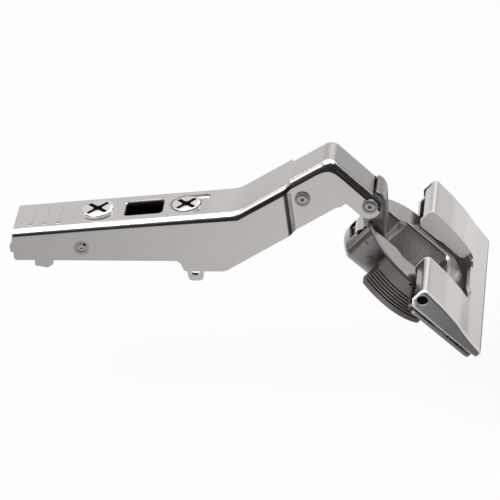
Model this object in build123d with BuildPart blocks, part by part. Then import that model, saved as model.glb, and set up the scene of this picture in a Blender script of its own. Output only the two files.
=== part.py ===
from build123d import *
from math import cos, radians, sin
import os

# An angled clip hinge for a door at 45 degrees, shown open.
# X runs along the arm towards the boss, Y along the pivots, Z up, in millimetres.
# The origin is the middle of the face that rests on the mounting plate.
# Side sketches count x from the arm's rear end and z from its lower edge.

# Arm and carrier
SEAT_X = 25.0
SEAT_Z = 5.9
SHEET = 1.2
ARM_FOLD_R = 2.0
ARM_REAR_HALF = 8.28
ARM_FRONT_HALF = 6.55
ARM_REAR_TOP = (0.0, 8.95)
ARM_BEND = (62.76, 14.98)
ARM_APEX = (89.62, 31.5)
ARM_TOP_ANGLE = 5.48
ARM_RISE_ANGLE = 31.63
ARM_NOSE_ANGLE = -45.36
ARM_NOSE_LENGTH = 16.05
ARM_END_CENTRE = (99.67, 16.4)
ARM_END_R = 3.45
JOGGLE_X = 78.1
JOGGLE_Z = 16.0
JOGGLE_LEAN = 4.54
JOGGLE_START = -1.1
JOGGLE_END = 0.7
BEND_R = 10.0
APEX_R = 3.2
CARRIER_HALF = 6.9
CARRIER_TOP = SEAT_Z + SHEET
SEAT_PAD = 0.2

# Pivots as (x, z) on the side planes
REAR_PIN = (19.27, 4.1)
OUTER_RIVET = (100.13, 16.86)
INNER_RIVET = (81.56, 19.04)
CLIP_PIN = (7.6, 3.6)
DEPTH_CAM_X = 23.5
SIDE_SCREW_X = 48.4
WINDOW_X = 36.5
WINDOW_BEVEL = 0.45
CAM_NECK_R = 2.8
CAM_HEAD_R = 4.65
CAM_HEAD_T = 1.0
CAM_DISC_R = 6.4
CAM_DISC_T = 1.2
SCREW_HEAD_R = 4.3
SCREW_HEAD_T = 0.9
HEAD_GAP = 0.03
RIB_XS = (4.8, 8.7, 12.6)
RIB_LENGTH = 10.0
RIB_WIDTH = 1.3
RIB_HEIGHT = 0.25
POCKET_HALF = 4.9
POCKET_DEPTH = 0.7
REAR_PIN_R = 2.25
RIVET_R = 1.4
RIVET_HEAD_R = 2.2

# Boss
BOSS_X = 112.29
BOSS_Z = -0.38
BOSS_TILT = 46.0
RIM_R = 18.1
RIM_T = 0.8
RIM_ROUND = 0.42
TUB_R = 17.4
TUB_REAR_HALF = 8.0
TUB_FRONT_HALF = 10.0
TUB_STEP_U = (-6.6, -4.2)
TUB_WALL = 0.8
TUB_DEPTH = 12.4
TUB_CORNER_R = 2.2
TUB_FLOOR_R = 2.0
TUB_FREE_U = 12.4
TUB_ROLL_R = 1.0
LINK_GATE = (5.5, -5.8)
EYE_GATE = (4.0, -8.9)
PLATE_T = 0.9
LEVER_HALF = 31.0
SLOT_HALF = 12.5
DEEP_PIN = (-9.95, -8.3)
SHALLOW_PIN = (-13.98, -5.6)
DEEP_PIN_R = 1.1
SHALLOW_PIN_R = 0.95
LEVER_PIN = (1.2, 3.4)
JAW_R = 17.5
JAW_INNER = 11.9
TONGUE_U = (3.0, 8.0)
TONGUE_Y = (14.2, 15.4)
TONGUE_HEAD_Y = 17.0
JAW_TRAVEL = 1.0
RIB_COUNT = 6
RIB_PITCH = 0.9

RUN = 0.05

SIDE = Plane(origin=(-SEAT_X, 0, -SEAT_Z), x_dir=(1, 0, 0), z_dir=(0, -1, 0))
BOSS_U = (sin(radians(BOSS_TILT)), 0, -cos(radians(BOSS_TILT)))
BOSS_N = (cos(radians(BOSS_TILT)), 0, sin(radians(BOSS_TILT)))
BOSS_ORIGIN = (BOSS_X - SEAT_X, 0, BOSS_Z - SEAT_Z)
BOSS_SIDE = Plane(origin=BOSS_ORIGIN, x_dir=BOSS_U, z_dir=(0, -1, 0))
BOSS_TOP = Plane(origin=BOSS_ORIGIN, x_dir=BOSS_U, z_dir=BOSS_N)

os.makedirs("parts", exist_ok=True)


def to_side(point):
    """Turn a boss point (u, n) into (x, z) on the side plane."""
    u, n = point
    x = BOSS_X + u * BOSS_U[0] + n * BOSS_N[0]
    z = BOSS_Z + u * BOSS_U[2] + n * BOSS_N[2]
    return (x, z)


def moved(point, angle, along, up=0.0):
    """Move a point along a line at this angle, and square to it."""
    a = radians(angle)
    return (point[0] + along * cos(a) - up * sin(a), point[1] + along * sin(a) + up * cos(a))


def mitred(corner, angle_in, angle_out, depth):
    """Move a corner of an outline in by a depth square to both its runs."""
    mean = radians((angle_in + angle_out) / 2)
    reach = depth / cos(radians((angle_out - angle_in) / 2))
    return (corner[0] + reach * sin(mean), corner[1] - reach * cos(mean))


def arm_top_line(depth, overrun):
    """Corners of the arm's top sheet, a depth below its outside."""
    rear = moved(ARM_REAR_TOP, ARM_TOP_ANGLE, -overrun, -depth)
    bend = mitred(ARM_BEND, ARM_TOP_ANGLE, ARM_RISE_ANGLE, depth)
    apex = mitred(ARM_APEX, ARM_RISE_ANGLE, ARM_NOSE_ANGLE, depth)
    nose = moved(apex, ARM_NOSE_ANGLE, ARM_NOSE_LENGTH + overrun)
    return [rear, bend, apex, nose]


def on_top(x):
    """Plane on the arm's top sheet at this x, with its z axis square to the sheet."""
    a = radians(ARM_TOP_ANGLE)
    z = ARM_REAR_TOP[1] + (x - ARM_REAR_TOP[0]) * sin(a) / cos(a)
    return Plane(origin=(x - SEAT_X, 0, z - SEAT_Z), x_dir=(cos(a), 0, sin(a)), z_dir=(-sin(a), 0, cos(a)))


def long_edges(faces, up):
    """Edges along the sides of the faces that look up and run across Y."""
    tops = [f for f in faces if abs(f.normal_at().Y) < 0.01 and f.normal_at().dot(up) > 0.3]
    return [e for f in tops for e in f.edges() if abs(e.tangent_at(0.5).Y) < 0.1]


def level(z):
    """Level plane at this height above the arm's lower edge, x counted from the arm's rear."""
    return Plane(origin=(-SEAT_X, 0, z - SEAT_Z), x_dir=(1, 0, 0), z_dir=(0, 0, 1))


# Arm, folded from one sheet
END_A = moved(moved(ARM_END_CENTRE, ARM_NOSE_ANGLE, ARM_END_R), ARM_NOSE_ANGLE, 0, ARM_END_R)
END_B = moved(moved(ARM_END_CENTRE, ARM_NOSE_ANGLE, ARM_END_R), ARM_NOSE_ANGLE, 0, -ARM_END_R)
ARM_SIDE_LINE = [
    (0, 0),
    ARM_REAR_TOP,
    ARM_BEND,
    ARM_APEX,
    END_A,
    END_B,
    (93.5, 17.75),
    (92.1, 16.55),
    (90.9, 16.4),
    (59.2, -3.3),
    (47.8, -3.3),
    (46.9, -0.9),
    (45.9, 0),
]
NOSE_CUT = moved(ARM_APEX, ARM_NOSE_ANGLE, ARM_NOSE_LENGTH)
ARM_SIDE_RADII = [1.0, 0.5, 10.0, 3.2, 3.4, 3.4, 0.8, 0.5, 0.6, 4.0, 0.8, 0.7, 0.3]


def arm_block(half, depth):
    """Part of the arm at one width, or its hollow at a sheet's depth."""
    top = arm_top_line(depth, 8)
    with BuildPart() as block:
        with BuildSketch(SIDE):
            with BuildLine():
                FilletPolyline(
                    *top, (top[3][0], -20), (top[0][0], -20),
                    radius=[0, BEND_R + depth, APEX_R - depth, 0, 0, 0], close=True,
                )
            make_face()
        extrude(amount=half - depth, both=True)
        if not depth:
            fillet(long_edges(block.faces(), Vector(0, 0, 1)), ARM_FOLD_R)
    return block.part


def arm_form(depth):
    """The folded arm as a solid form, this depth inside its outside and run on below."""
    joggle = Plane(
        origin=(JOGGLE_X - SEAT_X, 0, JOGGLE_Z - SEAT_Z),
        x_dir=(cos(radians(JOGGLE_LEAN)), 0, sin(radians(JOGGLE_LEAN))),
        z_dir=(-sin(radians(JOGGLE_LEAN)), 0, cos(radians(JOGGLE_LEAN))),
    )
    wide = ARM_REAR_HALF - depth
    slim = ARM_FRONT_HALF - depth
    with BuildPart() as form:
        add(arm_block(ARM_REAR_HALF, depth))
        with BuildSketch(joggle):
            with BuildLine():
                Polyline(
                    (-100, 12), (JOGGLE_START, 12), (JOGGLE_START, wide), (JOGGLE_END, slim),
                    (JOGGLE_END, -slim), (JOGGLE_START, -wide), (JOGGLE_START, -12), (-100, -12), close=True,
                )
            make_face()
        extrude(amount=60, both=True, mode=Mode.INTERSECT)
        add(arm_block(ARM_FRONT_HALF, depth))
    return form.part


with BuildPart() as hinge_arm:
    with BuildSketch(SIDE):
        with BuildLine():
            FilletPolyline(*ARM_SIDE_LINE, radius=ARM_SIDE_RADII, close=True)
        make_face()
    extrude(amount=ARM_REAR_HALF, both=True)
    add(arm_form(0), mode=Mode.INTERSECT)
    add(arm_form(SHEET), mode=Mode.SUBTRACT)
    with BuildSketch(SIDE):
        with Locations(REAR_PIN):
            Circle(REAR_PIN_R)
        with Locations(OUTER_RIVET, INNER_RIVET):
            Circle(RIVET_R)
    extrude(amount=ARM_REAR_HALF, both=True, mode=Mode.SUBTRACT)
    with BuildSketch(on_top(DEPTH_CAM_X)):
        Circle(CAM_NECK_R + 0.2)
        with Locations((WINDOW_X - DEPTH_CAM_X, 0)):
            RectangleRounded(10.4, 7.2, 1.0)
    extrude(amount=3, both=True, mode=Mode.SUBTRACT)
    with BuildSketch(on_top(DEPTH_CAM_X).offset(0.01)):
        with Locations((WINDOW_X - DEPTH_CAM_X, 0)):
            RectangleRounded(10.4 + 2 * WINDOW_BEVEL, 7.2 + 2 * WINDOW_BEVEL, 1.0 + WINDOW_BEVEL)
    extrude(amount=-WINDOW_BEVEL, taper=45, mode=Mode.SUBTRACT)
    for x in RIB_XS:
        with BuildSketch(on_top(x).offset(-0.1)):
            SlotOverall(RIB_LENGTH, RIB_WIDTH, rotation=90)
        extrude(amount=0.1 + RIB_HEIGHT, taper=20)
    with BuildSketch(on_top(SIDE_SCREW_X).offset(-SHEET - POCKET_DEPTH)):
        Circle(POCKET_HALF + 0.8)
        with Locations((3.5, 0)):
            RectangleRounded(8.4, 2 * POCKET_HALF + 1.6, 1.4)
    extrude(amount=1.0)
    with BuildSketch(on_top(SIDE_SCREW_X).offset(0.02)):
        Circle(POCKET_HALF)
        with Locations((3.2, 0)):
            RectangleRounded(6.4, 2 * POCKET_HALF, 0.9)
    extrude(amount=-POCKET_DEPTH, taper=15, mode=Mode.SUBTRACT)
    with BuildSketch(on_top(SIDE_SCREW_X)):
        Circle(3.05)
    extrude(amount=4, both=True, mode=Mode.SUBTRACT)
    with BuildSketch(SIDE):
        with BuildLine():
            Polyline(
                moved(NOSE_CUT, ARM_NOSE_ANGLE, 0, 2),
                moved(NOSE_CUT, ARM_NOSE_ANGLE, 0, -SHEET),
                moved(NOSE_CUT, ARM_NOSE_ANGLE, 12, -SHEET),
                moved(NOSE_CUT, ARM_NOSE_ANGLE, 12, 2),
                close=True,
            )
        make_face()
    extrude(amount=ARM_FRONT_HALF - SHEET, both=True, mode=Mode.SUBTRACT)
hinge_arm.part.label = "hinge_arm"


def cheeks(outline, radii, outer, inner, plane=SIDE):
    """Two equal side walls of a folded piece."""
    with BuildPart() as walls:
        for side in (1, -1):
            with BuildSketch(plane.offset(side * inner)):
                with BuildLine():
                    FilletPolyline(*outline, radius=radii, close=True)
                make_face()
            extrude(amount=side * (outer - inner))
    return walls.part


def turned(plane, centre, steps):
    """A turned pin along Y, given as (start, end, radius) steps."""
    with BuildPart() as pin:
        for start, end, radius in steps:
            with BuildSketch(plane.offset(-end)):
                with Locations(centre):
                    Circle(radius)
            extrude(amount=end - start)
    return pin.part


# Carrier
CARRIER_X0 = 1.5
CARRIER_X1 = 56.0
CARRIER_LINE = [
    (CARRIER_X0, 0.3),
    (CARRIER_X0, CARRIER_TOP),
    (CARRIER_X1, CARRIER_TOP),
    (CARRIER_X1, 0.3),
    (53.7, 0.3),
    (52.7, -7.1),
    (48.8, -7.1),
    (47.8, 0.3),
]
with BuildPart() as clip_carrier:
    add(cheeks(CARRIER_LINE, [0.5, 0.8, 1.5, 1.5, 0.8, 1.2, 1.2, 0.8], CARRIER_HALF, CARRIER_HALF - SHEET))
    with BuildSketch(level(SEAT_Z + SEAT_PAD)):
        with Locations(((CARRIER_X0 + CARRIER_X1) / 2, 0)):
            Rectangle(CARRIER_X1 - CARRIER_X0 - 1.6, 2 * (CARRIER_HALF - SHEET))
    extrude(amount=SHEET - SEAT_PAD)
    with BuildSketch(level(SEAT_Z)):
        with Locations((34.0, 0)):
            Rectangle(24.0, 2 * (CARRIER_HALF - SHEET))
    extrude(amount=SEAT_PAD + 0.1)
    with BuildSketch(level(SEAT_Z)):
        with Locations((36, 0)):
            RectangleRounded(16, 9.0, 1.0)
        with Locations((49.5, 0)):
            SlotOverall(9.5, 4.2)
    extrude(amount=SHEET, mode=Mode.SUBTRACT)
    with BuildSketch(SIDE):
        with Locations((REAR_PIN[0] + 0.5, REAR_PIN[1])):
            SlotOverall(2 * 1.65 + 5.2, 2 * 1.65)
        with Locations(CLIP_PIN):
            Circle(1.0)
        with Locations((50.7, -4.4)):
            SlotOverall(2.6, 1.8)
    extrude(amount=20, both=True, mode=Mode.SUBTRACT)
    with BuildSketch(level(CARRIER_TOP)):
        with Locations((DEPTH_CAM_X + 3.6, 0)):
            Circle(0.5)
    extrude(amount=1.0)
clip_carrier.part.label = "clip_carrier"

clip_lever_pin = turned(SIDE, CLIP_PIN, [(-7.05, 7.05, 1.0)])
clip_lever_pin.label = "clip_lever_pin"

CLIP_LEVER_LINE = [
    (-1.4, 1.0), (-1.4, 3.6), (2.0, 4.3), (9.6, 5.2), (10.2, 1.2),
    (10.7, -2.8), (8.9, -4.0), (5.3, -3.4), (5.5, 0.8),
]
CLIP_LEVER_RADII = [0.4, 0.6, 1.0, 1.2, 1.0, 0.8, 0.6, 0.5, 1.0]
CLIP_LEVER_HALF = 5.5
CLIP_LEVER_T = 1.1
with BuildPart() as clip_lever:
    add(cheeks(CLIP_LEVER_LINE, CLIP_LEVER_RADII, CLIP_LEVER_HALF, CLIP_LEVER_HALF - CLIP_LEVER_T))
    with BuildSketch(SIDE):
        with BuildLine():
            FilletPolyline(
                (-1.4, 1.0), (-1.4, 3.6), (-0.3, 3.7), (-0.3, 1.0), radius=[0.3, 0.5, 0, 0.3], close=True,
            )
        make_face()
    extrude(amount=CLIP_LEVER_HALF, both=True)
    with BuildSketch(SIDE):
        with Locations(CLIP_PIN):
            Circle(1.0 + RUN)
    extrude(amount=20, both=True, mode=Mode.SUBTRACT)
clip_lever.part.label = "clip_lever"

with BuildPart() as clip_lever_spring:
    with BuildSketch(SIDE):
        with Locations(CLIP_PIN):
            Circle(1.9)
            Circle(1.2, mode=Mode.SUBTRACT)
    extrude(amount=2.4, both=True)
clip_lever_spring.part.label = "clip_lever_spring"


def staked(pin, plane, centre, half):
    """A pin with a ring and a dimple punched in each end."""
    with BuildPart() as body:
        add(pin)
        for side in (1, -1):
            with BuildSketch(plane.offset(side * half)):
                with Locations(centre):
                    Circle(1.5)
                    Circle(1.2, mode=Mode.SUBTRACT)
                    Circle(0.5)
            extrude(amount=-side * 0.25, mode=Mode.SUBTRACT)
    return body.part


rear_pivot_pin = staked(
    turned(
        SIDE, REAR_PIN,
        [(-8.28, -7.1, REAR_PIN_R - RUN), (-7.1, 7.1, 1.6), (7.1, 8.28, REAR_PIN_R - RUN)],
    ),
    SIDE, REAR_PIN, 8.28,
)
rear_pivot_pin.label = "rear_pivot_pin"

# Screws in the arm


def cross_recess(plane, length):
    """The recess of a cross driver, for cutting."""
    with BuildPart() as recess:
        with BuildSketch(plane):
            Rectangle(length, 1.3, rotation=45)
            Rectangle(length, 1.3, rotation=-45)
            Circle(1.3)
        extrude(amount=-1.1, taper=12)
    return recess.part


CAM_SEAT = on_top(DEPTH_CAM_X).offset(HEAD_GAP)
with BuildPart() as depth_cam:
    with BuildSketch(CAM_SEAT):
        Circle(CAM_HEAD_R)
    extrude(amount=CAM_HEAD_T)
    fillet(depth_cam.edges().sort_by(Axis((0, 0, 0), on_top(DEPTH_CAM_X).z_dir))[-1], 0.4)
    with BuildSketch(on_top(DEPTH_CAM_X).offset(0.2)):
        Circle(CAM_NECK_R)
    extrude(amount=-SHEET - 0.4)
    with BuildSketch(on_top(DEPTH_CAM_X).offset(-SHEET - 0.1)):
        Circle(CAM_DISC_R)
    extrude(amount=-CAM_DISC_T)
    add(cross_recess(CAM_SEAT.offset(CAM_HEAD_T), 7.4), mode=Mode.SUBTRACT)
depth_cam.part.label = "depth_cam"

SCREW_SEAT = on_top(SIDE_SCREW_X).offset(HEAD_GAP - POCKET_DEPTH)
with BuildPart() as side_screw:
    with BuildSketch(SCREW_SEAT):
        Circle(SCREW_HEAD_R)
    extrude(amount=SCREW_HEAD_T)
    fillet(side_screw.edges().sort_by(Axis((0, 0, 0), on_top(SIDE_SCREW_X).z_dir))[-1], 0.3)
    with BuildSketch(on_top(SIDE_SCREW_X).offset(-0.5)):
        Circle(3.0)
    extrude(amount=-4.2)
    with BuildSketch(on_top(SIDE_SCREW_X).offset(-4.6)):
        Circle(1.6)
    extrude(amount=-4.8)
    with BuildSketch(on_top(SIDE_SCREW_X).offset(-8.9)):
        Circle(2.6)
    extrude(amount=-0.9)
    add(cross_recess(SCREW_SEAT.offset(SCREW_HEAD_T), 6.8), mode=Mode.SUBTRACT)
side_screw.part.label = "side_screw"


def rivet(centre, half):
    """A rivet across the arm with a ringed and dimpled head on each side."""
    steps = [(-half - 0.5, -half, RIVET_HEAD_R), (-half, half, RIVET_R), (half, half + 0.5, RIVET_HEAD_R)]
    return staked(turned(SIDE, centre, steps), SIDE, centre, half + 0.5)


outer_link_rivet = rivet(OUTER_RIVET, ARM_FRONT_HALF)
outer_link_rivet.label = "outer_link_rivet"
inner_link_rivet = rivet(INNER_RIVET, ARM_FRONT_HALF)
inner_link_rivet.label = "inner_link_rivet"

# Outer link
DEEP = to_side(DEEP_PIN)
SHALLOW = to_side(SHALLOW_PIN)
KNUCKLE_R = 4.3
KNUCKLE_TOP = 64.0
LINK_OUT_HALF = 5.2
LINK_IN_HALF = 3.8
LINK_T = 1.1
LINK_FOLD_R = 1.1
OUTER_LEG = [
    (97.9, 19.0), (100.4, 19.0), (102.0, 20.0), (104.4, 17.5), (104.4, 6.6), (101.7, 1.6), (101.4, -0.4),
    (98.4, -0.9), (98.2, 1.6), (100.1, 2.9), (100.4, 7.4), (98.2, 10.3), (97.9, 13.0),
]
OUTER_LEG_RADII = [1.8, 0.8, 0.8, 2.0, 1.5, 1.0, 1.4, 1.4, 1.0, 0.6, 1.2, 1.2, 2.0]
with BuildPart() as outer_link:
    for side in (1, -1):
        with BuildSketch(SIDE.offset(side * (LINK_OUT_HALF - LINK_T))):
            with BuildLine():
                FilletPolyline(*OUTER_LEG, radius=OUTER_LEG_RADII, close=True)
            make_face()
            with Locations(DEEP):
                Circle(2.15)
        extrude(amount=side * LINK_T)
    with BuildSketch(SIDE):
        with BuildLine():
            outer = CenterArc(OUTER_RIVET, KNUCKLE_R, 0, KNUCKLE_TOP)
            inner = CenterArc(OUTER_RIVET, KNUCKLE_R - SHEET, 0, KNUCKLE_TOP)
            Line(outer @ 1, inner @ 1)
            drop = Line(outer @ 0, (OUTER_RIVET[0] + KNUCKLE_R, 7.6))
            back = Line(inner @ 0, (OUTER_RIVET[0] + KNUCKLE_R - SHEET, 7.6))
            Line(drop @ 1, back @ 1)
        make_face()
    extrude(amount=LINK_OUT_HALF, both=True)
    front = OUTER_RIVET[0] + KNUCKLE_R - SEAT_X
    upright = [e for e in outer_link.edges() if e.length > 5 and abs(e.tangent_at(0.5).Z) > 0.95]
    at_front = [e for e in upright if e.center().X > front - 0.1]
    fillet([e for e in at_front if abs(abs(e.center().Y) - LINK_OUT_HALF) < 0.01], LINK_FOLD_R)
    with BuildSketch(SIDE):
        with Locations(OUTER_RIVET):
            Circle(RIVET_R + RUN)
        with Locations(DEEP):
            Circle(DEEP_PIN_R + RUN)
    extrude(amount=20, both=True, mode=Mode.SUBTRACT)
outer_link.part.label = "outer_link"

# Inner link, whose eye on the shallow pin is left loose
LOOSE_EYE = (SHALLOW[0] - 0.549, SHALLOW[1] + 0.134)
LOOSE_R = 1.98
LINK_ROUTE = [INNER_RIVET, (90.2, 21.2), (95.0, 18.2), (99.4, 12.5), (99.7, 9.2), LOOSE_EYE]
LINK_HOLLOW = [(85.5, 19.4), (89.8, 20.3), (94.2, 17.6), (98.5, 12.2), (98.8, 9.6)]
with BuildPart() as inner_link:
    with BuildSketch(SIDE):
        with BuildLine():
            FilletPolyline(*LINK_ROUTE, radius=[4.0, 3.0, 3.0, 1.5])
        trace(line_width=2.5)
        with Locations(INNER_RIVET):
            Circle(2.6)
        with Locations(LOOSE_EYE):
            Circle(2.62)
    extrude(amount=LINK_IN_HALF, both=True)
    with BuildSketch(SIDE):
        with BuildLine():
            FilletPolyline(*LINK_HOLLOW, radius=[4.0, 3.0, 1.0])
        trace(line_width=2.2)
    extrude(amount=LINK_IN_HALF - LINK_T, both=True, mode=Mode.SUBTRACT)
    with BuildSketch(SIDE):
        with Locations(INNER_RIVET):
            Circle(RIVET_R + RUN)
        with Locations(LOOSE_EYE):
            Circle(LOOSE_R)
    extrude(amount=20, both=True, mode=Mode.SUBTRACT)
inner_link.part.label = "inner_link"


def tongue_slots(n):
    """Slots that the jaws' tongues slide in, through a sheet whose underside is at this height."""
    with BuildPart() as slots:
        with BuildSketch(BOSS_TOP.offset(n - 0.1)):
            for side in (1, -1):
                with Locations((sum(TONGUE_U) / 2, side * (sum(TONGUE_Y) - JAW_TRAVEL) / 2)):
                    Rectangle(TONGUE_U[1] - TONGUE_U[0] + 0.3, TONGUE_Y[1] - TONGUE_Y[0] + JAW_TRAVEL + 0.3)
        extrude(amount=2.0)
    return slots.part


def tub_form(inset):
    """The tub's solid form, a wall's thickness inside its outside."""
    rear = TUB_REAR_HALF - inset
    front = TUB_FRONT_HALF - inset
    u0, u1 = TUB_STEP_U
    free = TUB_FREE_U - inset
    with BuildPart() as form:
        with BuildSketch(BOSS_TOP) as plan:
            Circle(TUB_R - inset)
            with BuildLine():
                Polyline(
                    (-20, rear), (u0, rear), (u1, front), (free, front),
                    (free, -front), (u1, -front), (u0, -rear), (-20, -rear), close=True,
                )
            make_face(mode=Mode.INTERSECT)
            fillet(plan.vertices(), TUB_CORNER_R - inset)
        extrude(amount=-TUB_DEPTH + inset)
        fillet(form.faces().sort_by(Axis(BOSS_ORIGIN, BOSS_N))[0].edges(), TUB_FLOOR_R - inset)
    return form.part


# Boss cup, drawn from one sheet
with BuildPart() as boss_cup:
    with BuildSketch(BOSS_TOP):
        Circle(RIM_R)
    extrude(amount=-RIM_T)
    fillet(boss_cup.edges().sort_by(Axis(BOSS_ORIGIN, BOSS_N))[-1], RIM_ROUND)
    add(tub_form(0))
    add(tub_form(TUB_WALL), mode=Mode.SUBTRACT)
    mouth = [e for e in boss_cup.faces().sort_by(Axis(BOSS_ORIGIN, BOSS_N))[-1].inner_wires()[0].edges()]
    fillet(mouth, TUB_ROLL_R)
    with BuildSketch(BOSS_SIDE):
        with Locations(DEEP_PIN):
            Circle(DEEP_PIN_R)
        with Locations(SHALLOW_PIN):
            Circle(SHALLOW_PIN_R)
    extrude(amount=20, both=True, mode=Mode.SUBTRACT)
    for half, sill in (LINK_GATE, EYE_GATE):
        with BuildSketch(BOSS_SIDE):
            with Locations((-18.0, sill / 2 + 1)):
                Rectangle(7.0, 2 - sill)
        extrude(amount=half, both=True, mode=Mode.SUBTRACT)
    add(tongue_slots(-RIM_T), mode=Mode.SUBTRACT)
boss_cup.part.label = "boss_cup"

# Base plate under the wings
with BuildPart() as boss_plate:
    with BuildSketch(BOSS_TOP.offset(-RIM_T)):
        with Locations((11.65, 0)):
            RectangleRounded(22.7, 2 * LEVER_HALF - 1.0, 2.0)
        Rectangle(26.8, 2 * TUB_FRONT_HALF + 1.2, mode=Mode.SUBTRACT)
    extrude(amount=-PLATE_T)
    with BuildSketch(BOSS_TOP.offset(-RIM_T - PLATE_T)):
        Circle(RIM_R)
    extrude(amount=0.15, mode=Mode.SUBTRACT)
    add(tongue_slots(-RIM_T - PLATE_T), mode=Mode.SUBTRACT)
    for side in (1, -1):
        with BuildSketch(BOSS_SIDE.offset(side * 28.4)):
            with BuildLine():
                FilletPolyline(
                    (4.5, -1.6), (4.5, 0.4), (2.8, 4.9), (-0.4, 5.0), (-0.4, 2.0), (0.5, 0.4), (0.5, -1.6),
                    radius=[0, 1.0, 1.5, 1.5, 0.8, 0.5, 0], close=True,
                )
            make_face()
            with Locations(LEVER_PIN):
                Circle(1.0, mode=Mode.SUBTRACT)
        extrude(amount=side * 1.2)
boss_plate.part.label = "boss_plate"

cup_pin_outer = turned(BOSS_SIDE, DEEP_PIN, [(-TUB_REAR_HALF - 0.3, TUB_REAR_HALF + 0.3, DEEP_PIN_R)])
cup_pin_outer.label = "cup_pin_outer"
cup_pin_inner = turned(BOSS_SIDE, SHALLOW_PIN, [(-TUB_REAR_HALF - 0.3, TUB_REAR_HALF + 0.3, SHALLOW_PIN_R)])
cup_pin_inner.label = "cup_pin_inner"

with BuildPart() as closing_spring:
    for side in (1, -1):
        with BuildSketch(BOSS_SIDE.offset(side * 5.6)):
            with Locations(DEEP_PIN):
                Circle(1.95)
                Circle(DEEP_PIN_R + 0.15, mode=Mode.SUBTRACT)
        extrude(amount=side * 1.4)
        with BuildSketch(BOSS_SIDE.offset(side * 5.9)):
            with Locations((DEEP_PIN[0] + 6, DEEP_PIN[1] - 1.55)):
                Rectangle(12, 0.7)
        extrude(amount=side * 0.7)
    with BuildSketch(BOSS_SIDE):
        with Locations((DEEP_PIN[0] + 12, DEEP_PIN[1] - 1.55)):
            Circle(0.35)
    extrude(amount=6.6, both=True)
closing_spring.part.label = "closing_spring"

# Flip lever, folded from one sheet
LEVER_TOP_LINE = [(-1.0, 6.6), (7.1, 5.9), (13.0, 4.9), (18.0, 3.5), (24.2, 2.4)]
LEVER_T = 1.2
LEVER_FOLD_R = 1.0
SLOT_WALL = [
    *LEVER_TOP_LINE[:4], (18.2, 2.6), (15.0, 0.6), (8.2, 0.8), (6.4, 0.3), (0.2, 0.3), (-0.9, 1.4),
]
SLOT_WALL_RADII = [1.6, 20, 20, 0.2, 0.4, 1.0, 0.8, 0.6, 0.5, 0.5]
SLOT_PLAN = [(-3, 12.5), (15.9, 12.5), (17.6, 11.3), (17.7, 6.2), (16.6, 5.2)]
with BuildPart() as flip_lever:
    with BuildSketch(BOSS_SIDE):
        with BuildLine():
            FilletPolyline(
                *LEVER_TOP_LINE, (24.2, 0.2), (22.6, -0.1), (0.6, -0.1), (-1.0, 1.6),
                radius=[1.6, 20, 20, 20, 1.2, 0.6, 0, 1.5, 0.5], close=True,
            )
        make_face()
    extrude(amount=LEVER_HALF, both=True)
    fillet(long_edges(flip_lever.faces(), Vector(*BOSS_N)), LEVER_FOLD_R)
    with BuildSketch(BOSS_SIDE):
        with BuildLine():
            FilletPolyline(
                (0.2, 5.3), (7.0, 4.7), (12.8, 3.7), (17.8, 2.3), (23.0, 1.3), (23.0, -3), (0.2, -3),
                radius=[0.4, 18, 18, 18, 0.4, 0, 0], close=True,
            )
        make_face()
    extrude(amount=LEVER_HALF - LEVER_T, both=True, mode=Mode.SUBTRACT)
    with BuildSketch(BOSS_SIDE):
        with Locations((-1, 0.5)):
            Rectangle(2.45, 4.4)
    extrude(amount=LEVER_HALF - LEVER_T, both=True, mode=Mode.SUBTRACT)
    add(cheeks(SLOT_WALL, SLOT_WALL_RADII, SLOT_HALF + LEVER_T, SLOT_HALF, BOSS_SIDE))
    with BuildSketch(BOSS_TOP):
        with BuildLine():
            Polyline(*SLOT_PLAN, *[(u, -y) for u, y in reversed(SLOT_PLAN)], close=True)
        make_face()
    extrude(amount=10, mode=Mode.SUBTRACT)
    for side in (1, -1):
        with BuildSketch(BOSS_SIDE.offset(side * 29.8)):
            with Locations(LEVER_PIN):
                Circle(1.6)
        extrude(amount=side * 3, mode=Mode.SUBTRACT)
    with BuildSketch(BOSS_TOP):
        with Locations((0, 29.1), (0, -29.1)):
            Rectangle(5.0, 1.6)
    extrude(amount=5.0, mode=Mode.SUBTRACT)
flip_lever.part.label = "flip_lever"

lever_pin_near = turned(BOSS_SIDE, LEVER_PIN, [(-30.25, -29.65, 1.55), (-29.65, -27.6, 1.0)])
lever_pin_near.label = "lever_pin_near"
lever_pin_far = turned(BOSS_SIDE, LEVER_PIN, [(27.6, 29.65, 1.0), (29.65, 30.25, 1.55)])
lever_pin_far.label = "lever_pin_far"


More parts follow.
